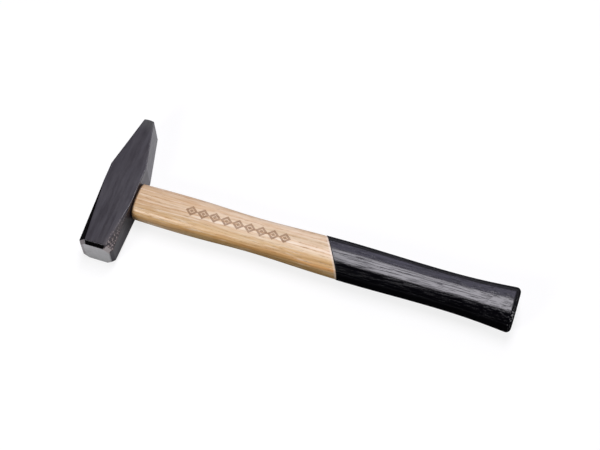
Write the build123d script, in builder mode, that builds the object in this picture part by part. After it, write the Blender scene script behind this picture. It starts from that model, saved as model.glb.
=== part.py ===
from build123d import *
from math import cos, sin, pi, radians, copysign
import os

# A cross-peen engineer's hammer, lying on its side. Millimetres, +Z up.
# +X runs along the handle to its butt, +Y points along the head to the peen, and Z crosses the two flat
# cheeks of the head. The origin is on the lower cheek, straight under the middle of the eye.

# --- Head: forged steel, ground on its striking face and peen
head_width = 27.0  # from the head's outer side to the side that the handle comes out of
head_thickness = 27.4  # from cheek to cheek
face_reach = 50.7  # middle of the eye to the striking face
peen_reach = 62.8  # middle of the eye to the corners of the peen's tip
outer_bend_reach = 18.9  # middle of the eye to where the outer side bends in towards the tip
handle_bend_reach = 23.2  # the same on the handle side
bend_radius = 3.0
tip_width = 8.0
tip_offset = 0.7  # middle of the tip, from the middle of the head towards the handle
tip_crown = 0.5  # how far the rounded tip stands out past its corners
tip_corner_radius = 1.2  # dulled tip corner on the handle side
corner_chamfer = 5.2  # taken off each corner of the square body, at the striking face
outer_chamfer_end = 5.4  # where those on the outer side run out, from the middle of the eye to the peen
handle_chamfer_end = -7.6  # where those on the handle side run out, just before the eye
face_bevel = 2.1  # bevel round the striking face: how much narrower it makes the face on every side
bevel_run = 3.0  # and how far back along the head it starts
edge_break = 0.5  # small bevel along the edges of both cheeks

# --- Eye: an oval hole along X, waisted in the middle so that the spread tenon can't pull out
eye_length = 25.0  # at its mouths, along the head
eye_width = 16.0  # at its mouths, across the cheeks
eye_waist_length = 22.8
eye_waist_width = 14.0

# --- Handle: one piece of ash. Each station is measured from the shoulder, which seats on the head
tenon_clearance = 0.05  # all round, between the tenon and the eye
tenon_proud = 0.3  # how far the tenon stands out of the head's outer side
shoulder_width = 28.3
shoulder_thickness = 21.2
belly_at = 26.5
belly_width = 29.2
belly_thickness = 21.9
front_taper_at = 56.5
front_taper_width = 28.8
front_taper_thickness = 21.6
neck_at = 92.5
neck_width = 27.0
neck_thickness = 20.2
handle_length = 296.0  # shoulder to butt
swell_from_butt = 164.0  # the stations of the grip are measured forward from the butt
swell_width = 28.8
swell_thickness = 21.6
palm_from_butt = 126.0
palm_width = 30.0
palm_thickness = 22.4
waist_from_butt = 69.0
waist_width = 28.5
waist_thickness = 21.3
flare_from_butt = 29.0
flare_width = 29.9
flare_thickness = 22.4
butt_width = 33.8
butt_thickness = 25.3
oval_fullness = 2.4  # exponent of the handle's cross-section: 2 is an ellipse, more is squarer
shoulder_round = 1.6
butt_round = 4.0

# --- Wedges that spread the end of the tenon in the eye
wedge_thickness = 3.4  # wooden wedge, at its outer end
wedge_tip_thickness = 0.8
wedge_depth = 17.0  # how far it goes in from the head's outer side
ring_diameter = 11.0  # steel ring wedge, outside, at its outer end
ring_tip_diameter = 9.6
ring_wall = 1.5  # at its outer end
ring_tip_wall = 0.4
ring_depth = 9.0
ring_clearance = 0.03

# --- Black lacquer that the grip was dipped in
lacquer_thickness = 0.3  # from the wood to the outside of the film
lacquer_clearance = 0.03  # between the wood and the inside of the film
lacquer_start = 154.9  # shoulder to the lacquer's edge, along the middle of the handle
lacquer_slant = 29.4  # degrees that the edge leans from square

os.makedirs("parts", exist_ok=True)

side = head_width / 2  # the head's outer side is at -side, and the handle leaves it at +side
middle = head_thickness / 2  # height of the handle's centre line
tenon_end = -side - tenon_proud
centre_line = Axis((0, 0, middle), (1, 0, 0))


def across(x):
    """The plane square to the handle at x, its own x along the head and its own y up."""
    return Plane(origin=(x, 0, middle), x_dir=(0, 1, 0), z_dir=(1, 0, 0))


def oval_section(x, width, thickness):
    """The handle's cross-section at x, between an ellipse and a rectangle in its fullness."""
    steps = 24
    power = 2 / oval_fullness
    points = []
    for step in range(steps):
        angle = 2 * pi * step / steps
        along = copysign(abs(cos(angle)) ** power, cos(angle))
        up = copysign(abs(sin(angle)) ** power, sin(angle))
        points.append((width / 2 * along, thickness / 2 * up))
    with BuildSketch(across(x)) as section:
        with BuildLine():
            Spline(*points, periodic=True)
        make_face()
    return section.sketch


def rounded_end(x, outward, width, thickness, radius):
    """A quarter-round cap on the section that the handle has at x, with its flat end outward."""
    steps = 5
    sections = []
    for step in range(steps + 1):
        angle = pi / 2 * step / steps
        inset = radius * (1 - cos(angle))
        end = x + outward * radius * sin(angle)
        sections.append(oval_section(end, width - 2 * inset, thickness - 2 * inset))
    with BuildPart() as cap:
        loft(sections)
    return cap.part


def handle_blank(skin):
    """The handle behind its shoulder, grown by a skin all round and at the butt."""
    stations = [
        (shoulder_round, shoulder_width, shoulder_thickness),
        (belly_at, belly_width, belly_thickness),
        (front_taper_at, front_taper_width, front_taper_thickness),
        (neck_at, neck_width, neck_thickness),
        (handle_length - swell_from_butt, swell_width, swell_thickness),
        (handle_length - palm_from_butt, palm_width, palm_thickness),
        (handle_length - waist_from_butt, waist_width, waist_thickness),
        (handle_length - flare_from_butt, flare_width, flare_thickness),
        (handle_length - butt_round, butt_width, butt_thickness),
    ]
    grown = [
        (side + distance, width + 2 * skin, thickness + 2 * skin)
        for distance, width, thickness in stations
    ]
    sections = [oval_section(*station) for station in grown]
    shoulder_cap = rounded_end(grown[0][0], -1, grown[0][1], grown[0][2], shoulder_round)
    butt_cap = rounded_end(grown[-1][0], 1, grown[-1][1], grown[-1][2], butt_round + skin)
    with BuildPart() as blank:
        loft(sections)
        add(shoulder_cap)
        add(butt_cap)
    return blank.part


def eye_filling(margin):
    """The waisted oval that fills the eye from side to side, less a margin all round."""
    with BuildPart() as filling:
        for x, length, width in (
            (-side, eye_length, eye_width),
            (0, eye_waist_length, eye_waist_width),
            (side, eye_length, eye_width),
        ):
            with BuildSketch(across(x)):
                Ellipse(length / 2 - margin, width / 2 - margin)
        loft()
        if tenon_proud > 0 and margin > 0:
            extrude(filling.faces().sort_by(Axis.X)[0], amount=tenon_proud)
    return filling.part


def wedge_slab():
    """The wooden wedge before it is cut to the tenon's oval: a taper as wide as the eye is long."""
    tip = -side + wedge_depth
    with BuildPart() as slab:
        with BuildSketch(Plane.XZ):
            Polygon(
                (tenon_end, middle - wedge_thickness / 2),
                (tip, middle - wedge_tip_thickness / 2),
                (tip, middle + wedge_tip_thickness / 2),
                (tenon_end, middle + wedge_thickness / 2),
                align=None,
            )
        extrude(amount=eye_length, both=True)
    return slab.part


def ring_solid(margin):
    """The ring wedge, grown by a margin all round."""
    tip = -side + ring_depth + margin
    with BuildPart() as ring:
        with BuildSketch(Plane.XZ):
            Polygon(
                (tenon_end, middle + ring_diameter / 2 + margin),
                (tip, middle + ring_tip_diameter / 2 + margin),
                (tip, middle + ring_tip_diameter / 2 - ring_tip_wall - margin),
                (tenon_end, middle + ring_diameter / 2 - ring_wall - margin),
                align=None,
            )
        revolve(axis=centre_line)
    return ring.part


# --- The head, drawn from above and extruded from cheek to cheek
eye = eye_filling(0)
tip_outer = tip_offset - tip_width / 2
tip_inner = tip_offset + tip_width / 2
with BuildPart() as hammer_head:
    with BuildSketch(Plane.XY) as profile:
        with BuildLine():
            Polyline(
                (tip_outer, peen_reach),
                (-side, outer_bend_reach),
                (-side, -face_reach),
                (side, -face_reach),
                (side, handle_bend_reach),
                (tip_inner, peen_reach),
            )
            ThreePointArc(
                (tip_inner, peen_reach),
                (tip_offset, peen_reach + tip_crown),
                (tip_outer, peen_reach),
            )
        make_face()
        bends = profile.vertices().filter_by(lambda corner: 0 < corner.Y < peen_reach - tip_crown)
        fillet(bends, bend_radius)
        tip_corners = profile.vertices().group_by(Axis.Y)[-1]
        fillet(tip_corners.sort_by(Axis.X)[-1], tip_corner_radius)
    extrude(amount=head_thickness)
    cheek_edges = hammer_head.faces().filter_by(Axis.Z).edges()
    chamfer(cheek_edges.sort_by(Axis.Y)[2:], edge_break)  # all but the two along the striking face
    # Four flat corner chamfers, widest at the striking face
    for x_sign, chamfer_end in ((-1, outer_chamfer_end), (1, handle_chamfer_end)):
        lean = corner_chamfer / (face_reach + chamfer_end)
        for z_sign in (-1, 1):
            run_out = (x_sign * side, chamfer_end, middle + z_sign * middle)
            outward = (x_sign, -lean, z_sign)
            split(bisect_by=Plane(origin=run_out, z_dir=outward), keep=Keep.BOTTOM)
    striking_face = hammer_head.faces().sort_by(Axis.Y)[0]
    chamfer(striking_face.edges(), face_bevel, bevel_run, reference=striking_face)
    add(eye, mode=Mode.SUBTRACT)
hammer_head.part.label = "hammer_head"
export_step(hammer_head.part, "parts/hammer_head.step")

# --- The ash handle: its grip and shank behind the shoulder, and the tenon that fills the eye
grip_and_shank = handle_blank(0)
tenon = eye_filling(tenon_clearance)
saw_cut = wedge_slab()
ring_seat = ring_solid(ring_clearance)
with BuildPart() as handle:
    add(grip_and_shank)
    add(tenon)
    add(saw_cut, mode=Mode.SUBTRACT)
    add(ring_seat, mode=Mode.SUBTRACT)
handle.part.label = "handle"
export_step(handle.part, "parts/handle.step")

# --- The wooden wedge fills the saw cut in the tenon
with BuildPart() as wood_wedge:
    add(tenon)
    add(saw_cut, mode=Mode.INTERSECT)
    add(ring_seat, mode=Mode.SUBTRACT)
wood_wedge.part.label = "wood_wedge"
export_step(wood_wedge.part, "parts/wood_wedge.step")

# --- The steel ring wedge, driven in across the wooden one
ring_body = ring_solid(0)
with BuildPart() as ring_wedge:
    add(ring_body)
ring_wedge.part.label = "ring_wedge"
export_step(ring_wedge.part, "parts/ring_wedge.step")

# --- The lacquer film, from its slanting edge to the butt
film_outside = handle_blank(lacquer_thickness)
film_inside = handle_blank(lacquer_clearance)
slant = radians(lacquer_slant)
lacquer_edge = Plane(origin=(side + lacquer_start, 0, middle), z_dir=(cos(slant), sin(slant), 0))
with BuildPart() as grip_lacquer:
    add(film_outside)
    split(bisect_by=lacquer_edge, keep=Keep.TOP)
    add(film_inside, mode=Mode.SUBTRACT)
grip_lacquer.part.label = "grip_lacquer"
export_step(grip_lacquer.part, "parts/grip_lacquer.step")
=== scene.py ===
from math import asin, copysign, cos, pi, radians, sin, tan

import bmesh
import bpy
import numpy
from mathutils import Euler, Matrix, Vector, noise


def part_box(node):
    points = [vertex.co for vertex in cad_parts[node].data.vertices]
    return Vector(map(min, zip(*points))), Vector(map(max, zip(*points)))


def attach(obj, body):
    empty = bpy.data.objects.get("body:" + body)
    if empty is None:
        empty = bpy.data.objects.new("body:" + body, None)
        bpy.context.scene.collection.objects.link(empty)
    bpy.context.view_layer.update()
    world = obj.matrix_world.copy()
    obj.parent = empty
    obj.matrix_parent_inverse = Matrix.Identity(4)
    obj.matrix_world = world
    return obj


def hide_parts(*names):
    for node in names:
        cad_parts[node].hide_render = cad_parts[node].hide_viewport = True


# A cross-peen engineer's hammer lying on its side. +X runs along the handle to its butt, +Y along the head
# to the peen, and Z crosses the cheeks. Lengths are in metres, and mm is one millimetre.
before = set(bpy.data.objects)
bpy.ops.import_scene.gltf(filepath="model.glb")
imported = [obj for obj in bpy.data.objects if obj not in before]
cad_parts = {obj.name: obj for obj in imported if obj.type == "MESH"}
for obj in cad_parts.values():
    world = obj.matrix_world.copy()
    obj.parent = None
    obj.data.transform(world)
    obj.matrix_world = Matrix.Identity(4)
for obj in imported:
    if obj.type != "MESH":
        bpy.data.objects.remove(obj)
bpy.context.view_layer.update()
mm = 0.001


# ---------------------------------------------------------------------------------------------------------
# The head: one steel forging with a square body, an oval eye and a wedge-shaped peen. It is dipped in
# black lacquer over the forging scale, then ground bright on the striking face and on the peen's
# rounded tip.

head_low, head_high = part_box("hammer_head")
side = head_high.x  # the handle leaves the head here, and the outer side is at -side
cheek = head_high.z  # height of the upper cheek; the lower one lies on the bench
middle = cheek / 2
face_y = head_low.y
peen_reach = 62.8 * mm
outer_bend_reach = 18.9 * mm
handle_bend_reach = 23.2 * mm
tip_width = 8.0 * mm
tip_offset = 0.7 * mm
tip_crown = 0.5 * mm
tip_corner_radius = 1.2 * mm
corner_chamfer = 5.2 * mm
outer_chamfer_end = 5.4 * mm
handle_chamfer_end = -7.6 * mm
face_bevel = 2.1 * mm
bevel_run = 3.0 * mm
edge_rounding = 0.5 * mm
least_bend = radians(12)  # edges between flats that bend less than this aren't rounded
hammered_square = 1.9 * mm  # the flats are cut into squares of this size, to be hammered
hammering_depth = 0.03 * mm
dent = 9 * mm  # how far apart the broad dents of hammering lie
small_dent = 3.5 * mm  # and the small ones on top of them
knock_reach = 2.0 * mm  # how far knocks spread from the chamfer that they are on
knock_length = 38 * mm  # and how far they reach behind the striking face
eye_length = 25.0 * mm
eye_width = 16.0 * mm
eye_waist_length = 22.8 * mm
eye_waist_width = 14.0 * mm
eye_flare = 0.35 * mm
eye_half_rows = 4
around_eye = 96
beyond = 1 * mm  # how far the shapes that cut a piece run out beyond it

# One of these finishes is a painted dark reflection: near-black, for flats that face dark surroundings
LACQUERED, PAINTED_DARK_REFLECTION, GROUND = range(3)  # the finishes of the head's flats


def head_flats():
    """Every flat of the head: a point on it, its outward direction, and its finish."""
    tip_outer = Vector((tip_offset - tip_width / 2, peen_reach, 0))
    tip_inner = Vector((tip_offset + tip_width / 2, peen_reach, 0))
    outer_taper = Vector((-(peen_reach - outer_bend_reach), tip_outer.x + side, 0)).normalized()
    inner_taper = Vector((peen_reach - handle_bend_reach, side - tip_inner.x, 0)).normalized()
    face = Vector((0, -1, 0))
    flats = [
        (Vector((0, 0, cheek)), Vector((0, 0, 1)), LACQUERED),
        (Vector((0, 0, 0)), Vector((0, 0, -1)), LACQUERED),
        (Vector((side, 0, 0)), Vector((1, 0, 0)), LACQUERED),
        (Vector((-side, 0, 0)), Vector((-1, 0, 0)), LACQUERED),
        (tip_outer, outer_taper, LACQUERED),
        (tip_inner, inner_taper, LACQUERED),
        (Vector((0, face_y, 0)), face, GROUND),
    ]
    # The crown of the tip, as five flats round its arc
    crown_radius = ((tip_width / 2) ** 2 + tip_crown**2) / (2 * tip_crown)
    crown_middle = Vector((tip_offset, peen_reach + tip_crown - crown_radius, 0))
    half_angle = asin(tip_width / 2 / crown_radius)
    for share in (-0.8, -0.4, 0, 0.4, 0.8):
        outward = Vector((sin(share * half_angle), cos(share * half_angle), 0))
        flats.append((crown_middle + crown_radius * outward, outward, GROUND))
    # The tip's dulled corner on the handle side
    crown_end = Vector((sin(half_angle), cos(half_angle), 0))
    corner_middle = tip_inner - (crown_end + inner_taper) * (
        tip_corner_radius / (1 + crown_end.dot(inner_taper))
    )
    for share in (1 / 3, 2 / 3):
        outward = crown_end.lerp(inner_taper, share).normalized()
        flats.append((corner_middle + tip_corner_radius * outward, outward, GROUND))
    # The corner chamfers, and the bevel that each of the eight sides has at the striking face
    bevel_y = face_y + bevel_run
    beside_face = [
        (Vector((0, bevel_y, cheek)), Vector((0, 0, 1)), PAINTED_DARK_REFLECTION),
        (Vector((0, bevel_y, 0)), Vector((0, 0, -1)), GROUND),
        (Vector((side, bevel_y, 0)), Vector((1, 0, 0)), LACQUERED),
        (Vector((-side, bevel_y, 0)), Vector((-1, 0, 0)), GROUND),
    ]
    for x_sign, chamfer_end in ((-1, outer_chamfer_end), (1, handle_chamfer_end)):
        lean = corner_chamfer / (chamfer_end - face_y)
        for z_sign in (-1, 1):
            run_out = Vector((x_sign * side, chamfer_end, middle + z_sign * middle))
            outward = Vector((x_sign, -lean, z_sign)).normalized()
            flats.append((run_out, outward, PAINTED_DARK_REFLECTION if x_sign < 0 else LACQUERED))
            inward = lean * (chamfer_end - bevel_y) / 2
            start = Vector((x_sign * (side - inward), bevel_y, middle + z_sign * (middle - inward)))
            beside_face.append((start, outward, LACQUERED if x_sign > z_sign else GROUND))
    for start, outward, finish_number in beside_face:
        bevel = (outward * bevel_run + face * face_bevel).normalized()
        flats.append((start, bevel, finish_number))
    return flats


def everything(body):
    """All the corners, edges and faces of a body."""
    return body.verts[:] + body.edges[:] + body.faces[:]


def cut_from_block(flats, block_size):
    """The solid that is left of a block after every flat is cut on it."""
    body = bmesh.new()
    bmesh.ops.create_cube(body, size=block_size)
    for point, outward, finish_number in flats:
        cut = bmesh.ops.bisect_plane(
            body, geom=everything(body), dist=1e-7, plane_co=point, plane_no=outward, clear_outer=True
        )
        rim = [part for part in cut["geom_cut"] if isinstance(part, bmesh.types.BMEdge)]
        for new_face in bmesh.ops.contextual_create(body, geom=rim)["faces"]:
            new_face.material_index = finish_number
    bmesh.ops.recalc_face_normals(body, faces=body.faces)
    return body


def slice_flats(body, low, high, spacing):
    """Cuts a body's faces into squares, so that they can be hammered."""
    for axis in range(3):
        direction = Vector((0, 0, 0))
        direction[axis] = 1
        place = low[axis] + spacing
        while place < high[axis]:
            bmesh.ops.bisect_plane(
                body, geom=everything(body), dist=1e-7, plane_co=direction * place, plane_no=direction
            )
            place += spacing


def smooth(mesh):
    """Smooth shading, except over edges that bend by more than 32 degrees."""
    mesh.shade_smooth()
    mesh.set_sharp_from_angle(angle=radians(32))


def piece(name, mesh, finishes):
    """A named object in the scene, with its finishes, smooth except at its sharp edges."""
    for material in finishes:
        mesh.materials.append(material)
    smooth(mesh)
    made = bpy.data.objects.new(name, mesh)
    bpy.context.collection.objects.link(made)
    return made


def skin(name, rings):
    """A closed mesh over a row of rings, each with the same number of points."""
    around = len(rings[0])
    points = [point for ring in rings for point in ring]
    faces = [
        (
            row * around + step,
            row * around + (step + 1) % around,
            (row + 1) * around + (step + 1) % around,
            (row + 1) * around + step,
        )
        for row in range(len(rings) - 1)
        for step in range(around)
    ]
    faces.append(tuple(reversed(range(around))))
    faces.append(tuple(range(len(points) - around, len(points))))
    mesh = bpy.data.meshes.new(name)
    mesh.from_pydata(points, [], faces)
    return mesh


def oval_point(x, width, thickness, fullness, angle):
    """A point of an oval across the handle: an ellipse at fullness 2, and squarer above it."""
    along = copysign(abs(cos(angle)) ** (2 / fullness), cos(angle))
    up = copysign(abs(sin(angle)) ** (2 / fullness), sin(angle))
    return Vector((x, width / 2 * along, middle + thickness / 2 * up))


def oval(x, width, thickness, fullness, around):
    """A ring of points round an oval across the handle at x."""
    angles = [2 * pi * step / around for step in range(around)]
    return [oval_point(x, width, thickness, fullness, angle) for angle in angles]


def eye_oval(x, margin, around):
    """The eye's oval at x, narrowed by a margin. It is waisted half way through the head."""
    widening = (x / side) ** 2
    length = eye_waist_length + (eye_length - eye_waist_length) * widening
    width = eye_waist_width + (eye_width - eye_waist_width) * widening
    return oval(x, length - 2 * margin, width - 2 * margin, 2, around)


def carve(target, tool, operation):
    """Cuts one piece with another, which is then thrown away."""
    cutter = bpy.data.objects.new("cutter", tool)
    bpy.context.collection.objects.link(cutter)
    boolean = target.modifiers.new("carve", "BOOLEAN")
    boolean.operation = operation
    boolean.solver = "EXACT"
    boolean.object = cutter
    carved = bpy.data.meshes.new_from_object(
        target.evaluated_get(bpy.context.evaluated_depsgraph_get())
    )
    target.modifiers.clear()
    target.data = carved
    bpy.data.objects.remove(cutter)


def finish(name):
    """A new material with its node tree and its shader."""
    material = bpy.data.materials.new(name)
    material.use_nodes = True
    return material, material.node_tree, material.node_tree.nodes["Principled BSDF"]


def put(tree, kind, sockets=None, **settings):
    """Adds a node. Each socket takes a plain value or another node's output."""
    node = tree.nodes.new("ShaderNode" + kind)
    for setting, value in settings.items():
        setattr(node, setting, value)
    for socket, value in (sockets or {}).items():
        if isinstance(value, bpy.types.NodeSocket):
            tree.links.new(value, node.inputs[socket])
        else:
            node.inputs[socket].default_value = value
    return node


def work(tree, operation, *values):
    """The result of one sum on numbers or outputs."""
    return put(tree, "Math", dict(enumerate(values)), operation=operation).outputs[0]


def times(tree, first, second):
    """The product of two numbers or outputs."""
    return work(tree, "MULTIPLY", first, second)


def streaks(tree, place, pitches, detail):
    """Noise from 0 to 1 whose lumps have the given pitch along each axis."""
    stretch = put(tree, "Mapping", {"Vector": place, "Scale": [1 / pitch for pitch in pitches]})
    return put(
        tree, "TexNoise", {"Vector": stretch.outputs[0], "Scale": 1.0, "Detail": detail}
    ).outputs["Fac"]


def spread(tree, value, low, high, to_low=0.0, to_high=1.0):
    """A value between low and high, taken to another range and held there."""
    sockets = dict(enumerate((value, low, high, to_low, to_high)))
    return put(tree, "MapRange", sockets, interpolation_type="SMOOTHSTEP").outputs[0]


def blend(tree, amount, first, second, way="MIX"):
    """Two colours mixed by an amount, or the first tinted by the second."""
    mix = put(tree, "Mix", {"Factor": amount}, data_type="RGBA", blend_type=way)
    for socket, colour in (("A", first), ("B", second)):
        target = [entry for entry in mix.inputs if entry.name == socket and entry.type == "RGBA"][0]
        if isinstance(colour, bpy.types.NodeSocket):
            tree.links.new(colour, target)
        else:
            target.default_value = (*colour, 1)
    return [entry for entry in mix.outputs if entry.type == "RGBA"][0]


def tones(tree, value, low, high, stops):
    """A colour that follows a value from low to high, through stops given as shares and colours."""
    share = put(tree, "MapRange", dict(enumerate((value, low, high)))).outputs[0]
    ramp = put(tree, "ValToRGB", {"Fac": share})
    steps = ramp.color_ramp.elements
    while len(steps) < len(stops):
        steps.new(1.0)
    for step, (position, colour) in zip(steps, stops):
        step.position = position
        step.color = (*colour, 1)
    return ramp.outputs["Color"]


def relief(tree, shader, height, depth, under=None):
    """Small relief on a surface, in metres of depth, on top of any relief under it."""
    sockets = {"Height": height, "Distance": depth, "Strength": 1.0}
    if under is not None:
        sockets["Normal"] = under
    normal = put(tree, "Bump", sockets).outputs[0]
    tree.links.new(normal, shader.inputs["Normal"])
    return normal


black_lacquer_on_scale, tree, shader = finish("black_lacquer_on_scale")
place = put(tree, "TexCoord").outputs["Object"]
drips = streaks(tree, place, (2.6 * mm, 30 * mm, 2.6 * mm), 2)
clouds = streaks(tree, place, (9 * mm, 14 * mm, 9 * mm), 2)
scale_grain = streaks(tree, place, (0.7 * mm, 0.7 * mm, 0.7 * mm), 3)
film = blend(tree, spread(tree, drips, 0.3, 0.7), (0.0130, 0.0100, 0.0155), (0.0225, 0.0195, 0.0270))
film = blend(tree, spread(tree, clouds, 0.4, 0.75, 0, 0.5), film, (0.030, 0.0265, 0.0315))
along_head = put(tree, "SeparateXYZ", {"Vector": place}).outputs["Y"]
overground = spread(tree, along_head, peen_reach - 12 * mm, peen_reach - 2 * mm, 0.0, 0.7)
film = blend(tree, overground, film, (0.048, 0.050, 0.046))
# Along the chamfer on the handle's side, knocks have worn the lacquer to brown, and chipped it off the
# steel beside the face
knocks = put(tree, "Attribute", attribute_name="knocks").outputs["Fac"]
chips = streaks(tree, place, (1.3 * mm, 1.6 * mm, 1.3 * mm), 4)
rubbed = times(tree, spread(tree, knocks, 0.05, 0.55), spread(tree, chips, 0.35, 0.6, 0.15, 0.75))
film = blend(tree, rubbed, film, (0.072, 0.058, 0.056))
worn = spread(tree, work(tree, "ADD", chips, times(tree, knocks, 0.27)), 0.72, 0.79)
worn = times(tree, worn, spread(tree, knocks, 0.0, 0.3))
chip_tone = streaks(tree, place, (0.8 * mm, 0.8 * mm, 0.8 * mm), 2)
brown_steel = blend(tree, spread(tree, chip_tone, 0.4, 0.6), (0.09, 0.072, 0.068), (0.30, 0.25, 0.24))
tree.links.new(blend(tree, worn, film, brown_steel), shader.inputs["Base Color"])
roughness = work(tree, "ADD", spread(tree, drips, 0.2, 0.8, 0.28, 0.38), times(tree, knocks, 0.3))
tree.links.new(roughness, shader.inputs["Roughness"])
under = relief(tree, shader, clouds, 0.10 * mm)
relief(tree, shader, work(tree, "SUBTRACT", scale_grain, worn), 0.012 * mm, under)
shader.inputs["Specular IOR Level"].default_value = 0.57

# A painted dark reflection: near-black with almost no specular and a mottled tone, for the outer chamfers
# and the bevels that face dark surroundings
painted_dark_reflection_finish, tree, shader = finish("painted_dark_reflection_finish")
place = put(tree, "TexCoord").outputs["Object"]
black_mottling = streaks(tree, place, (2.5 * mm, 5 * mm, 2.5 * mm), 3)
black = blend(tree, black_mottling, (0.0006, 0.0005, 0.0006), (0.0018, 0.0015, 0.0018))
tree.links.new(black, shader.inputs["Base Color"])
tree.links.new(spread(tree, black_mottling, 0.2, 0.8, 0.42, 0.55), shader.inputs["Roughness"])
relief(tree, shader, black_mottling, 0.05 * mm)
shader.inputs["Specular IOR Level"].default_value = 0.008

ground_steel, tree, shader = finish("ground_steel")
place = put(tree, "TexCoord").outputs["Object"]
scratches = streaks(tree, place, (0.25 * mm, 0.25 * mm, 14 * mm), 3)
stains = streaks(tree, place, (5 * mm, 5 * mm, 4 * mm), 3)
bright = blend(tree, scratches, (0.35, 0.35, 0.352), (0.46, 0.46, 0.46))
steel = blend(tree, spread(tree, stains, 0.5, 0.8, 0, 0.5), bright, (0.30, 0.29, 0.285))
# The bevels that face the outer side, and the edge of the face beside them, are darkened as painted shade,
# and the knocked corner is scuffed matt
facing = put(tree, "SeparateXYZ", {"Vector": put(tree, "NewGeometry").outputs["True Normal"]})
outer_facing_shade = spread(tree, facing.outputs["X"], -0.2, -0.5, 0.0, 0.85)
across_head = put(tree, "SeparateXYZ", {"Vector": place}).outputs["X"]
face_edge_shade = spread(tree, across_head, -side + 4.9 * mm, -side + 3.6 * mm, 0.0, 0.6)
painted_outer_shade = work(tree, "MAXIMUM", outer_facing_shade, face_edge_shade)
steel = blend(tree, painted_outer_shade, steel, (0.20, 0.178, 0.178))
knocks = put(tree, "Attribute", attribute_name="knocks").outputs["Fac"]
scuffed = spread(tree, knocks, 0.2, 0.9)
steel = blend(tree, times(tree, scuffed, 0.8), steel, (0.40, 0.355, 0.345))
tree.links.new(steel, shader.inputs["Base Color"])
tree.links.new(spread(tree, stains, 0.2, 0.8, 0.30, 0.42), shader.inputs["Roughness"])
tree.links.new(work(tree, "SUBTRACT", 1.0, times(tree, scuffed, 0.85)), shader.inputs["Metallic"])
relief(tree, shader, scratches, 0.01 * mm)

flats = head_flats()
block_size = 4 * peen_reach
head_body = cut_from_block(flats, block_size)
rounded_edges = bmesh.ops.bevel(
    head_body,
    geom=[edge for edge in head_body.edges if edge.calc_face_angle() > least_bend],
    offset=edge_rounding,
    segments=3,
    profile=0.6,
    affect="EDGES",
)["faces"]
# The edge between the face and the bevel over it is painted near-black as a dark reflection. Grinding runs
# over the other edges of the face and its outer bevels, and the upper edges of the outer side get the same
# painted dark reflection
for strip in rounded_edges:
    beside_the_face = strip.calc_center_median().y - face_y < 2 * edge_rounding
    over_the_face = strip.normal.z > 0.2 and strip.normal.y < -0.6 and abs(strip.normal.x) < 0.15
    on_outer_side = strip.normal.x < -0.15
    if over_the_face:
        strip.material_index = PAINTED_DARK_REFLECTION
    elif strip.normal.y < -0.4 and (beside_the_face or on_outer_side):
        strip.material_index = GROUND
    elif on_outer_side and strip.normal.z > 0.1:
        strip.material_index = PAINTED_DARK_REFLECTION
slice_flats(head_body, head_low, head_high, hammered_square)
# Hammering has left the flats very slightly uneven
head_body.normal_update()
for corner in head_body.verts:
    unevenness = noise.noise(corner.co / dent) + 0.5 * noise.noise(corner.co / small_dent)
    corner.co -= corner.normal * hammering_depth * (1 + unevenness)
head_mesh = bpy.data.meshes.new("hammer_head_dressed")
head_body.to_mesh(head_mesh)
head_body.free()
hammer_head = piece("dressed_head", head_mesh, (black_lacquer_on_scale, painted_dark_reflection_finish, ground_steel))
# The eye is cut right through, and flares at its two mouths
eye_stations = [(-side - beyond, -eye_flare), (-side + eye_flare, 0)]
eye_stations += [(side * row / eye_half_rows, 0) for row in range(1 - eye_half_rows, eye_half_rows)]
eye_stations += [(side - eye_flare, 0), (side + beyond, -eye_flare)]
eye_rings = [eye_oval(x, margin, around_eye) for x, margin in eye_stations]
carve(hammer_head, skin("eye", eye_rings), "DIFFERENCE")
# How much each point has been knocked: most at the face, round the upper chamfer on the handle's side
chamfer_point, chamfer_outward = next(
    flat[:2] for flat in flats if min(flat[1].x, flat[1].z) > 0.5 and abs(flat[1].y) < 0.2
)
knock_amounts = []
for corner in hammer_head.data.vertices:
    from_face = corner.co.y - face_y
    bevel_drop = max(0.0, 1 - from_face / bevel_run) * face_bevel
    off_chamfer = max(0.0, abs((corner.co - chamfer_point).dot(chamfer_outward)) - bevel_drop)
    amount = max(0.0, 1 - off_chamfer / knock_reach) * max(0.0, 1 - from_face / knock_length)
    knock_amounts.append(amount)
hammer_head.data.attributes.new("knocks", "FLOAT", "POINT").data.foreach_set("value", knock_amounts)
hammer_head.modifiers.new("flat shading", "WEIGHTED_NORMAL").keep_sharp = True
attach(hammer_head, "root")
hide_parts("hammer_head")


# ---------------------------------------------------------------------------------------------------------
# The handle: one piece of straight-grained ash, turned and sanded to a waisted oval, clear varnished.
# Its shoulder seats on the head and its tenon fills the eye, with a saw cut for the wedge.

handle_low, handle_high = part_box("handle")
butt_x = handle_high.x
tenon_end = handle_low.x
tenon_clearance = 0.05 * mm
oval_fullness = 2.4
shoulder_round = 1.6 * mm
butt_round = 3.2 * mm
around_handle = 128  # how finely the handle is divided, round it and along its stretches
tenon_half_rows = 6
shoulder_rows = 6
shank_rows = 140
butt_rows = 8
# Stations of the handle: place along it, width along the head, thickness across the cheeks
from_shoulder = (
    (shoulder_round, 28.3 * mm, 21.2 * mm),
    (26.5 * mm, 29.2 * mm, 21.9 * mm),
    (56.5 * mm, 28.8 * mm, 21.6 * mm),
    (92.5 * mm, 27.0 * mm, 20.2 * mm),
)
from_butt = (
    (164.0 * mm, 28.8 * mm, 21.6 * mm),
    (126.0 * mm, 30.0 * mm, 22.4 * mm),
    (69.0 * mm, 28.5 * mm, 21.3 * mm),
    (29.0 * mm, 29.9 * mm, 22.4 * mm),
    (butt_round, 33.8 * mm, 25.3 * mm),
)
stations = [(side + place, width, thickness) for place, width, thickness in from_shoulder]
stations += [(butt_x - place, width, thickness) for place, width, thickness in from_butt]


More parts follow.
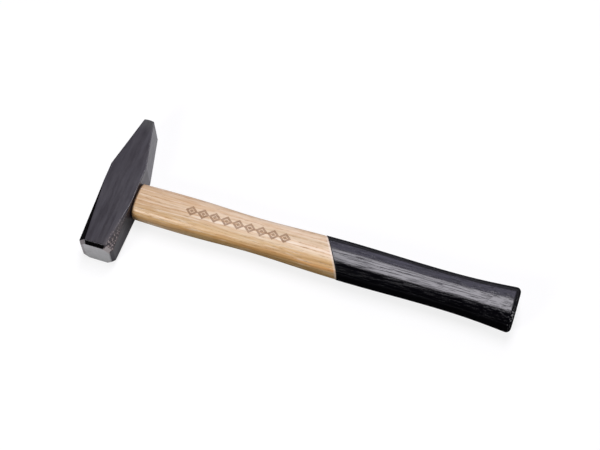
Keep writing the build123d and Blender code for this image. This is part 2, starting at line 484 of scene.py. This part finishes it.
def fair_curve(places, values):
    """The slopes at the stations of the smoothest curve through them."""
    count = len(places)
    table, right = numpy.zeros((count, count)), numpy.zeros(count)
    table[0, :2] = (2, 1)
    table[-1, -2:] = (1, 2)
    steps = numpy.diff(places)
    rises = numpy.diff(values) / steps
    right[0], right[-1] = 3 * rises[0], 3 * rises[-1]
    for row in range(1, count - 1):
        table[row, row - 1 : row + 2] = (
            steps[row],
            2 * (steps[row - 1] + steps[row]),
            steps[row - 1],
        )
        right[row] = 3 * (steps[row] * rises[row - 1] + steps[row - 1] * rises[row])
    return numpy.linalg.solve(table, right)


station_places = [station[0] for station in stations]
station_sizes = [[station[measure] for station in stations] for measure in (1, 2)]
station_slopes = [fair_curve(station_places, sizes) for sizes in station_sizes]


def size_at(x):
    """The handle's width and thickness at x."""
    x = max(station_places[0], min(station_places[-1], x))
    row = min(max(int(numpy.searchsorted(station_places, x)) - 1, 0), len(station_places) - 2)
    step = station_places[row + 1] - station_places[row]
    share = (x - station_places[row]) / step
    found = []
    for sizes, slopes in zip(station_sizes, station_slopes):
        found.append(
            sizes[row] * (1 + 2 * share) * (1 - share) ** 2
            + slopes[row] * step * share * (1 - share) ** 2
            + sizes[row + 1] * share**2 * (3 - 2 * share)
            - slopes[row + 1] * step * share**2 * (1 - share)
        )
    return found


def handle_outline(growth):
    """Places and sizes along the handle from its shoulder to its butt, grown by a skin."""
    width, thickness = size_at(station_places[0])
    outline = []
    for step in range(shoulder_rows):
        angle = pi / 2 * (1 - step / shoulder_rows)
        inset = shoulder_round * (1 - cos(angle)) - growth
        place = side + shoulder_round * (1 - sin(angle))
        outline.append((place, width - 2 * inset, thickness - 2 * inset))
    first, last = station_places[0], station_places[-1]
    for row in range(shank_rows + 1):
        x = first + (last - first) * row / shank_rows
        width, thickness = size_at(x)
        outline.append((x, width + 2 * growth, thickness + 2 * growth))
    rounding = butt_round + growth
    for step in range(1, butt_rows + 1):
        angle = pi / 2 * step / butt_rows
        inset = rounding * (1 - cos(angle)) - growth
        outline.append((last + rounding * sin(angle), width - 2 * inset, thickness - 2 * inset))
    return outline


def closing_rings(x, width, thickness, fullness, around, count):
    """Rings that shrink over a flat end."""
    return [
        oval(x, width * (1 - step / count), thickness * (1 - step / count), fullness, around)
        for step in range(1, count)
    ]


# Outside the head the tenon keeps the size that it has at the eye's mouth
tenon_rings = [
    eye_oval(side * row / tenon_half_rows, tenon_clearance, around_handle)
    for row in range(-tenon_half_rows, tenon_half_rows + 1)
]
handle_rings = [[Vector((tenon_end, point.y, point.z)) for point in tenon_rings[0]]] + tenon_rings
outline = handle_outline(0)
handle_rings += [oval(*station, oval_fullness, around_handle) for station in outline]
handle_rings += closing_rings(*outline[-1], oval_fullness, around_handle, count=5)

lacquer_start = side + 154.9 * mm  # where the black lacquer begins, on the centre line
lacquer_slant = radians(29.4)
growth_ring = 2.3 * mm
pith = Vector((0, -75 * mm, -42 * mm))  # middle of the tree that the blank was riven from
# These radii also place the painted shade of the lower front flank and the painted light of the top
shaded_heartwood_radius = 82.5 * mm  # from the pith to the darkest heartwood
lit_sapwood_radius = 105.5 * mm  # and to the outermost sapwood
log_taper = 0.02
band_start = 54 * mm  # the burnt-in band's place along the handle
band_half_height = 4.0 * mm
lozenge = 9.2 * mm
lozenges = 9

varnished_ash, tree, shader = finish("varnished_ash")
place = put(tree, "TexCoord").outputs["Object"]
x, y, z = put(tree, "SeparateXYZ", {"Vector": place}).outputs
# The growth rings are shells round the pith, which wander a little along the handle
wander = streaks(tree, place, (60 * mm, 14 * mm, 14 * mm), 2)
from_pith_y = work(tree, "SUBTRACT", y, pith.y)
from_pith_z = work(tree, "SUBTRACT", z, pith.z)
from_pith = put(tree, "CombineXYZ", {"Y": from_pith_y, "Z": from_pith_z}).outputs[0]
radius = put(tree, "VectorMath", {0: from_pith}, operation="LENGTH").outputs["Value"]
radius = work(tree, "ADD", radius, times(tree, wander, 5 * mm))
radius = work(tree, "SUBTRACT", radius, times(tree, x, log_taper))
years = work(tree, "DIVIDE", radius, growth_ring)
season = work(tree, "FRACT", years)
year = work(tree, "FLOOR", years)
year_tone = put(tree, "TexWhiteNoise", {"W": year}, noise_dimensions="1D").outputs["Value"]
early_wood = times(tree, spread(tree, season, 0.0, 0.10), spread(tree, season, 0.22, 0.60, 1.0, 0.0))
fibres = streaks(tree, place, (24 * mm, 1.4 * mm, 1.4 * mm), 3)
fine_fibres = streaks(tree, place, (11 * mm, 0.6 * mm, 0.6 * mm), 2)
long_tone = streaks(tree, place, (38 * mm, 4 * mm, 4 * mm), 3)
pores = streaks(tree, place, (5 * mm, 0.28 * mm, 0.28 * mm), 2)
# Golden brown heartwood on the side that was nearer to the pith, and pale sapwood above it. The tones also
# hold
# painted shade and light: darker and more golden down the lower front flank, paler on top
wood = tones(tree, radius, shaded_heartwood_radius, lit_sapwood_radius, (
    (0.11, (0.59, 0.395, 0.175)),
    (0.21, (0.69, 0.41, 0.155)),
    (0.29, (0.82, 0.54, 0.25)),
    (0.40, (0.83, 0.59, 0.32)),
    (0.51, (0.79, 0.60, 0.365)),
    (0.66, (0.80, 0.66, 0.475)),
    (1.00, (0.81, 0.66, 0.47)),
))
# The sapwood is more honey-coloured towards the head, and darkened there as painted shade from the head
honey_and_shade_near_head = spread(tree, x, side, side + 110 * mm, 1.0, 0.0)
honey_and_shade_near_head = times(tree, honey_and_shade_near_head, spread(tree, radius, 89 * mm, 96 * mm, 0.1, 1.0))
wood = blend(tree, honey_and_shade_near_head, wood, (0.83, 0.75, 0.65), "MULTIPLY")
wood = blend(tree, spread(tree, long_tone, 0.3, 0.7, 0.0, 0.6), wood, (0.88, 0.78, 0.66), "MULTIPLY")
yearly = work(tree, "ADD", times(tree, year_tone, 0.6), 0.1)
wood = blend(tree, times(tree, early_wood, yearly), wood, (0.82, 0.64, 0.46), "MULTIPLY")
wood = blend(tree, spread(tree, fibres, 0.52, 0.68, 0.0, 0.6), wood, (0.84, 0.70, 0.54), "MULTIPLY")
wood = blend(tree, spread(tree, fibres, 0.44, 0.32, 0.0, 0.4), wood, (0.95, 0.85, 0.70))
wood = blend(tree, spread(tree, fine_fibres, 0.50, 0.68, 0.0, 0.45), wood, (0.84, 0.72, 0.58), "MULTIPLY")
open_pores = times(tree, spread(tree, pores, 0.58, 0.66), spread(tree, early_wood, 0.1, 0.6))
wood = blend(tree, times(tree, open_pores, 0.6), wood, (0.45, 0.32, 0.22), "MULTIPLY")
# Three broad rings change towards the grip: the first turns lighter, the others darker
for ring, half_width, start, end, tint in (
    (86.2 * mm, 2.2 * mm, side + 122 * mm, side + 138 * mm, (1.28, 1.24, 1.32)),
    (90.6 * mm, 1.7 * mm, side + 60 * mm, side + 130 * mm, (0.80, 0.77, 0.68)),
    (101.5 * mm, 2.4 * mm, side + 60 * mm, side + 130 * mm, (0.85, 0.82, 0.74)),
):
    off_ring = work(tree, "ABSOLUTE", work(tree, "SUBTRACT", radius, ring))
    on_ring = spread(tree, off_ring, 0.3 * half_width, half_width, 1.0, 0.0)
    wood = blend(tree, times(tree, on_ring, spread(tree, x, start, end)), wood, tint, "MULTIPLY")
# A burnt-in band of plain lozenges on the upper side, each a line round a solid middle
run = work(tree, "DIVIDE", work(tree, "SUBTRACT", x, band_start), lozenge)
sideways = work(tree, "ABSOLUTE", work(tree, "SUBTRACT", work(tree, "FRACT", run), 0.5))
height = work(tree, "DIVIDE", work(tree, "ABSOLUTE", y), band_half_height)
from_centre = work(tree, "ADD", times(tree, sideways, 2.0), height)
from_line = work(tree, "ABSOLUTE", work(tree, "SUBTRACT", from_centre, 0.80))
line = spread(tree, from_line, 0.24, 0.29, 1.0, 0.0)
mark = work(tree, "MAXIMUM", line, spread(tree, from_centre, 0.34, 0.40, 1.0, 0.0))
in_band = times(tree, work(tree, "GREATER_THAN", run, 0.0), work(tree, "LESS_THAN", run, lozenges))
in_band = times(tree, in_band, work(tree, "GREATER_THAN", z, middle))
scorch = times(tree, times(tree, mark, in_band), spread(tree, fibres, 0.2, 0.8, 0.95, 0.6))
wood = blend(tree, scorch, wood, (0.25, 0.125, 0.042))
# The end grain at the shoulder is stained dark, with painted shade where it meets the head, and a strip
# along the black lacquer has no varnish
shoulder_stain_and_shade = spread(tree, x, side + 0.7 * mm, side + 2.1 * mm, 0.94, 0.0)
wood = blend(tree, shoulder_stain_and_shade, wood, (0.07, 0.034, 0.014))
slanted_x = work(tree, "ADD", x, times(tree, y, tan(lacquer_slant)))
bare = spread(tree, work(tree, "SUBTRACT", slanted_x, lacquer_start), -1.9 * mm, -1.0 * mm)
wood = blend(tree, times(tree, bare, 0.4), wood, (0.92, 0.85, 0.76))
tree.links.new(wood, shader.inputs["Base Color"])
tree.links.new(spread(tree, fibres, 0.2, 0.8, 0.26, 0.38), shader.inputs["Roughness"])
under = relief(tree, shader, fibres, 0.03 * mm)
relief(tree, shader, work(tree, "ADD", open_pores, scorch), -0.06 * mm, under)
shader.inputs["Specular IOR Level"].default_value = 0.45

handle = piece("ash_handle", skin("ash_handle", handle_rings), (varnished_ash,))
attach(handle, "root")
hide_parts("handle")


# ---------------------------------------------------------------------------------------------------------
# The wedges: a sawn hardwood wedge in the tenon's cut spreads it across the eye, and a tapered steel ring
# driven in over it spreads it all round. Both are beaten flush with the end of the tenon.

wedge_thickness = 3.4 * mm
wedge_tip_thickness = 0.8 * mm
wedge_depth = 17.0 * mm
ring_diameter = 11.0 * mm
ring_tip_diameter = 9.6 * mm
ring_wall = 1.5 * mm
ring_tip_wall = 0.4 * mm
ring_depth = 9.0 * mm
ring_clearance = 0.03 * mm
lip = 0.25 * mm  # rounding of the steel ring's beaten end
lip_rows = 4
around_ring = 64


def wedge_block(mesh_name, run_out):
    """The wooden wedge's taper, wider than the tenon and run out beyond its end."""
    tip = -side + wedge_depth
    rise = (wedge_thickness - wedge_tip_thickness) / 2 / (tip - tenon_end)
    rings = []
    for x in (tenon_end - run_out, tip):
        half = wedge_tip_thickness / 2 + rise * (tip - x)
        corners = ((-eye_length, -half), (eye_length, -half), (eye_length, half), (-eye_length, half))
        rings.append([Vector((x, across, middle + up)) for across, up in corners])
    return skin(mesh_name, rings)


def turned_ring(mesh_name, profile, around):
    """A closed ring turned round the middle of the tenon, from its profile of places and radii."""
    points = [
        Vector((x, radius * cos(2 * pi * step / around), middle + radius * sin(2 * pi * step / around)))
        for x, radius in profile
        for step in range(around)
    ]
    rows = len(profile)
    faces = [
        (
            row * around + step,
            (row + 1) % rows * around + step,
            (row + 1) % rows * around + (step + 1) % around,
            row * around + (step + 1) % around,
        )
        for row in range(rows)
        for step in range(around)
    ]
    mesh = bpy.data.meshes.new(mesh_name)
    mesh.from_pydata(points, [], faces)
    return mesh


def ring_seat():
    """The groove that the steel ring cuts, run out beyond the tenon's end."""
    tip = -side + ring_depth + ring_clearance
    outer = ring_diameter / 2 + ring_clearance
    outer_tip = ring_tip_diameter / 2 + ring_clearance
    inner = ring_diameter / 2 - ring_wall - ring_clearance
    inner_tip = ring_tip_diameter / 2 - ring_tip_wall - ring_clearance
    mouth = tenon_end - beyond
    profile = ((mouth, outer), (tip, outer_tip), (tip, inner_tip), (mouth, inner))
    return turned_ring("ring_seat", profile, around_ring)


# The handle's tenon is sawn for the wooden wedge, and the steel ring presses its own seat
carve(handle, wedge_block("saw_cut", beyond), "DIFFERENCE")
carve(handle, ring_seat(), "DIFFERENCE")
smooth(handle.data)

sawn_hardwood, tree, shader = finish("sawn_hardwood")
place = put(tree, "TexCoord").outputs["Object"]
fibres = streaks(tree, place, (12 * mm, 0.7 * mm, 0.35 * mm), 3)
dirt = streaks(tree, place, (3 * mm, 3 * mm, 1.5 * mm), 3)
wood = blend(tree, fibres, (0.40, 0.21, 0.10), (0.57, 0.34, 0.17))
wood = blend(tree, spread(tree, dirt, 0.50, 0.75, 0.0, 0.7), wood, (0.10, 0.055, 0.030))
tree.links.new(wood, shader.inputs["Base Color"])
tree.links.new(spread(tree, dirt, 0.2, 0.8, 0.55, 0.75), shader.inputs["Roughness"])
relief(tree, shader, fibres, 0.08 * mm)
shader.inputs["Specular IOR Level"].default_value = 0.3

wood_wedge = piece("driven_wood_wedge", wedge_block("driven_wood_wedge", 0), (sawn_hardwood,))
past_tenon = [Vector((tenon_end - beyond, point.y, point.z)) for point in tenon_rings[0]]
carve(wood_wedge, skin("tenon", [past_tenon] + tenon_rings), "INTERSECT")
carve(wood_wedge, ring_seat(), "DIFFERENCE")
smooth(wood_wedge.data)
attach(wood_wedge, "root")
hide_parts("wood_wedge")

beaten_steel, tree, shader = finish("beaten_steel")
place = put(tree, "TexCoord").outputs["Object"]
dents = streaks(tree, place, (1.2 * mm, 1.2 * mm, 1.2 * mm), 3)
rust = streaks(tree, place, (1.5 * mm, 2.5 * mm, 2.5 * mm), 4)
steel = blend(tree, dents, (0.42, 0.415, 0.41), (0.60, 0.595, 0.59))
rusty = spread(tree, rust, 0.55, 0.70)
steel = blend(tree, times(tree, rusty, 0.6), steel, (0.16, 0.085, 0.05))
tree.links.new(steel, shader.inputs["Base Color"])
tree.links.new(spread(tree, rusty, 0.0, 1.0, 0.34, 0.7), shader.inputs["Roughness"])
tree.links.new(spread(tree, rusty, 0.0, 1.0, 0.8, 0.3), shader.inputs["Metallic"])
relief(tree, shader, dents, 0.06 * mm)

# The ring's profile: its outer lip, its thin cutting edge, and its inner lip
ring_tip = -side + ring_depth
outer_lip = []
inner_lip = []
for step in range(lip_rows + 1):
    angle = pi / 2 * step / lip_rows
    lip_x = tenon_end + lip * (1 - sin(angle))
    outer_lip.append((lip_x, ring_diameter / 2 - lip * (1 - cos(angle))))
    inner_lip.append((lip_x, ring_diameter / 2 - ring_wall + lip * (1 - cos(angle))))
cutting_edge = [(ring_tip, ring_tip_diameter / 2), (ring_tip, ring_tip_diameter / 2 - ring_tip_wall)]
profile = outer_lip[::-1] + cutting_edge + inner_lip
ring_mesh = turned_ring("driven_ring_wedge", profile, around_ring)
ring_wedge = piece("driven_ring_wedge", ring_mesh, (beaten_steel,))
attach(ring_wedge, "root")
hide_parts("ring_wedge")


# ---------------------------------------------------------------------------------------------------------
# The grip's coat: black gloss lacquer from one slanted dip, over bare wood whose open pores draw it in.
# It is a thin closed skin with a rounded front edge, and it covers the butt.

lacquer_thickness = 0.3 * mm
lacquer_clearance = 0.03 * mm
edge_run = 0.5 * mm  # length over which the film thickens at its front edge
edge_rows = 5
grip_rows = 150
around_grip = 192
settling_passes = 3  # how often a leaning point is moved to suit the handle's size where it lies

gloss_black, tree, shader = finish("gloss_black")
place = put(tree, "TexCoord").outputs["Object"]
pores = streaks(tree, place, (20 * mm, 0.5 * mm, 0.5 * mm), 1)
ripples = streaks(tree, place, (110 * mm, 1.6 * mm, 1.6 * mm), 1)
haze = streaks(tree, place, (12 * mm, 5 * mm, 5 * mm), 3)
sunk = spread(tree, pores, 0.55, 0.70)
gloss = blend(tree, haze, (0.0006, 0.0005, 0.0013), (0.0014, 0.0012, 0.0024))
hazy = work(tree, "ADD", haze, sunk)
tree.links.new(spread(tree, hazy, 0.3, 1.6, 0.16, 0.27), shader.inputs["Roughness"])
# The lower corner of the butt has been stood on, and has small pale scuffs, which also serve as painted
# glints on its lower rim
x, y = put(tree, "SeparateXYZ", {"Vector": place}).outputs[:2]
scuffs_and_glints = streaks(tree, place, (0.7 * mm, 0.9 * mm, 0.8 * mm), 3)
before_end = spread(tree, x, butt_x - 0.9 * mm, butt_x - 0.4 * mm, 1.0, 0.0)
at_butt = times(tree, spread(tree, x, butt_x - 4 * mm, butt_x - 1.5 * mm), before_end)
at_butt = times(tree, at_butt, spread(tree, y, 0, -9 * mm))
scuffed = spread(tree, work(tree, "ADD", scuffs_and_glints, times(tree, at_butt, 0.09)), 0.67, 0.73)
scuffed = times(tree, scuffed, spread(tree, at_butt, 0.0, 0.2))
tree.links.new(blend(tree, scuffed, gloss, (0.30, 0.30, 0.30)), shader.inputs["Base Color"])
under = relief(tree, shader, ripples, 0.03 * mm)
under = relief(tree, shader, scuffed, -0.05 * mm, under)
relief(tree, shader, sunk, -0.05 * mm, under)
shader.inputs["Specular IOR Level"].default_value = 0.36


def slanted(x, sideways):
    """Where the film's point at x really lies, leaning with the front edge, and less towards the butt."""
    share = max(0.0, (butt_x - butt_round - x) / (butt_x - butt_round - lacquer_start))
    return x - sideways * tan(lacquer_slant) * share


def film_ring(x, growth):
    """One ring of the film, at the handle's size where each of its points really lies."""
    ring = []
    for step in range(around_grip):
        angle = 2 * pi * step / around_grip
        reach = x
        for _ in range(settling_passes):
            width, thickness = size_at(reach)
            point = oval_point(reach, width + 2 * growth, thickness + 2 * growth, oval_fullness, angle)
            reach = slanted(x, point.y)
        ring.append(Vector((reach, point.y, point.z)))
    return ring


# Its rings run from the middle of the butt along the inside, round the front edge and back outside
film_outside = handle_outline(lacquer_thickness)
film_inside = handle_outline(lacquer_clearance)
butt_outside = [oval(*station, oval_fullness, around_grip) for station in film_outside[-butt_rows:]]
butt_inside = [oval(*station, oval_fullness, around_grip) for station in film_inside[-butt_rows:]]
grip_length = station_places[-1] - lacquer_start
row_places = [lacquer_start + grip_length * (row / grip_rows) for row in range(grip_rows + 1)]
film_rings = closing_rings(*film_inside[-1], oval_fullness, around_grip, count=4)[::-1]
film_rings += butt_inside[::-1]
film_rings += [film_ring(x, lacquer_clearance) for x in row_places[::-1]]
for step in range(1, edge_rows + 1):
    angle = pi / 2 * step / edge_rows
    growth = lacquer_clearance + (lacquer_thickness - lacquer_clearance) * sin(angle)
    film_rings.append(film_ring(lacquer_start + edge_run * (1 - cos(angle)), growth))
film_rings += [film_ring(x, lacquer_thickness) for x in row_places[1:]]
film_rings += butt_outside
film_rings += closing_rings(*film_outside[-1], oval_fullness, around_grip, count=8)
grip_lacquer = piece("dipped_grip", skin("dipped_grip", film_rings), (gloss_black,))
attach(grip_lacquer, "root")
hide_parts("grip_lacquer")


# ---------------------------------------------------------------------------------------------------------
# The bench and the light: a white bench top under a long softbox, with a dimmer one behind it and two
# small fills. The camera sees the bench and the room as white, but the hammer's mirrored light comes from
# a dark room whose walls are brighter on the peen's side.

bench_half_width = 12.0

bench_paint, tree, shader = finish("bench_paint")
rays = put(tree, "LightPath").outputs
mirrored = work(tree, "MAXIMUM", rays["Is Glossy Ray"], rays["Is Transmission Ray"])
shader.inputs["Roughness"].default_value = 0.9
shader.inputs["Specular IOR Level"].default_value = 0.0
white = put(tree, "Emission", {"Color": (1, 1, 1, 1), "Strength": 1.05}).outputs[0]
place = put(tree, "TexCoord").outputs["Object"]
x, y = put(tree, "SeparateXYZ", {"Vector": place}).outputs[:2]
# The varnish and the lacquer mirror the bench beside the handle, where a painted shadow of the hammer
# darkens it
off_handle = spread(tree, work(tree, "ABSOLUTE", y), 130 * mm, 800 * mm)
before_handle = spread(tree, x, 25 * mm, 70 * mm, 1.0, 0.0)
open_bench = work(tree, "MAXIMUM", off_handle, before_handle)
# The corner between the head and the handle gets the same painted shadow
off_head = spread(tree, x, 12 * mm, 28 * mm, 0.2, 0.8)
off_head = work(tree, "MAXIMUM", off_head, spread(tree, y, 12 * mm, 22 * mm))
off_head = work(tree, "MAXIMUM", off_head, work(tree, "LESS_THAN", x, 12 * mm))
open_bench = times(tree, open_bench, off_head)
glow = times(tree, times(tree, mirrored, open_bench), 0.25)
mirrored_shade = times(tree, mirrored, work(tree, "SUBTRACT", 1.0, open_bench))
lit = blend(tree, rays["Is Camera Ray"], (0.30, 0.30, 0.30), (0.92, 0.92, 0.92))
lit = blend(tree, mirrored, lit, (0.80, 0.80, 0.80))
# The painted shadow is lighter behind the handle than in front of it
behind_handle = spread(tree, y, 5 * mm, 40 * mm)
shaded = blend(tree, behind_handle, (0.015, 0.015, 0.015), (0.08, 0.08, 0.085))
lit = blend(tree, mirrored_shade, lit, shaded)
tree.links.new(lit, shader.inputs["Base Color"])
# The camera sees the bench mostly as plain white, and more so far from the hammer and its shadow
from_hammer = put(tree, "VectorMath", {0: place}, operation="LENGTH").outputs["Value"]
plain_white = spread(tree, from_hammer, 500 * mm, 2000 * mm, 0.76, 0.97)
share = work(tree, "ADD", times(tree, rays["Is Camera Ray"], plain_white), glow)
shown = put(tree, "MixShader", {0: share, 1: shader.outputs[0], 2: white}).outputs[0]
tree.links.new(shown, tree.nodes["Material Output"].inputs["Surface"])
bench_mesh = bpy.data.meshes.new("bench")
bench_corners = [
    (x_sign * bench_half_width, y_sign * bench_half_width, 0)
    for x_sign, y_sign in ((-1, -1), (1, -1), (1, 1), (-1, 1))
]
bench_mesh.from_pydata(bench_corners, [], [(0, 1, 2, 3)])
bench_mesh.materials.append(bench_paint)
bench = bpy.data.objects.new("bench", bench_mesh)
bpy.context.collection.objects.link(bench)

handle_middle = Vector(((side + butt_x) / 2, 0, middle))


def softbox(name, towards, distance, width, length, radiance, colour):
    """A rectangular lamp of even brightness that faces the handle. Its length runs up and down its arc."""
    outward = Vector(towards).normalized()
    data = bpy.data.lights.new(name, "AREA")
    data.shape = "RECTANGLE"
    data.size, data.size_y = width, length
    data.energy = radiance * width * length * pi
    data.color = colour
    lamp = bpy.data.objects.new(name, data)
    lamp.location = handle_middle + distance * outward
    lamp.rotation_mode = "QUATERNION"
    lamp.rotation_quaternion = outward.to_track_quat("Z", "Y")
    bpy.context.collection.objects.link(lamp)


# Each one's direction from the handle, distance, width, length, brightness and colour
softbox("overhead_strip", (-0.020, 0.267, 1), 1.56, 0.42, 0.90, 12.6, (1, 0.97, 1.05))
softbox("back_strip", (-0.06, 1.27, 1), 1.56, 0.50, 1.00, 1.9, (0.99, 0.94, 1.28))
softbox("left_fill", (-0.42, -0.73, 0.55), 0.85, 0.22, 0.30, 13.0, (1, 1, 1.03))
softbox("right_fill", (0.93, -0.03, 0.29), 1.6, 0.20, 0.24, 48.0, (1, 1, 1))

walls = bpy.data.worlds.new("studio_walls")
bpy.context.scene.world = walls
walls.use_nodes = True
tree = walls.node_tree
direction = put(tree, "SeparateXYZ", {"Vector": put(tree, "TexCoord").outputs["Generated"]})
towards_peen = spread(tree, direction.outputs["Y"], -0.1, 0.8)
room = blend(tree, towards_peen, (0.010, 0.0097, 0.0108), (0.37, 0.3589, 0.3996))
seen = put(tree, "LightPath").outputs["Is Camera Ray"]
room = blend(tree, seen, room, (1.0, 1.0, 1.0))
tree.links.new(room, tree.nodes["Background"].inputs["Color"])

# The camera looks down steeply from the striking face's side
camera_aim = Vector((0.1378, 0.0187, middle))
camera_distance = 1.0262
camera_azimuth = radians(19.36)
camera_elevation = radians(63.17)
camera_roll = radians(-1.387)
camera_data = bpy.data.cameras.new("camera")
camera_data.lens = 81.54
camera_data.sensor_width = 36.0
camera_data.clip_start = 0.05
camera_data.clip_end = 40.0
camera = bpy.data.objects.new("camera", camera_data)
bpy.context.collection.objects.link(camera)
backward = Vector((
    sin(camera_azimuth) * cos(camera_elevation),
    -cos(camera_azimuth) * cos(camera_elevation),
    sin(camera_elevation),
))
camera.location = camera_aim + camera_distance * backward
camera.rotation_mode = "QUATERNION"
camera.rotation_quaternion = backward.to_track_quat("Z", "Y") @ Euler((0, 0, camera_roll)).to_quaternion()
bpy.context.scene.camera = camera
bpy.context.scene.view_settings.view_transform = "Standard"
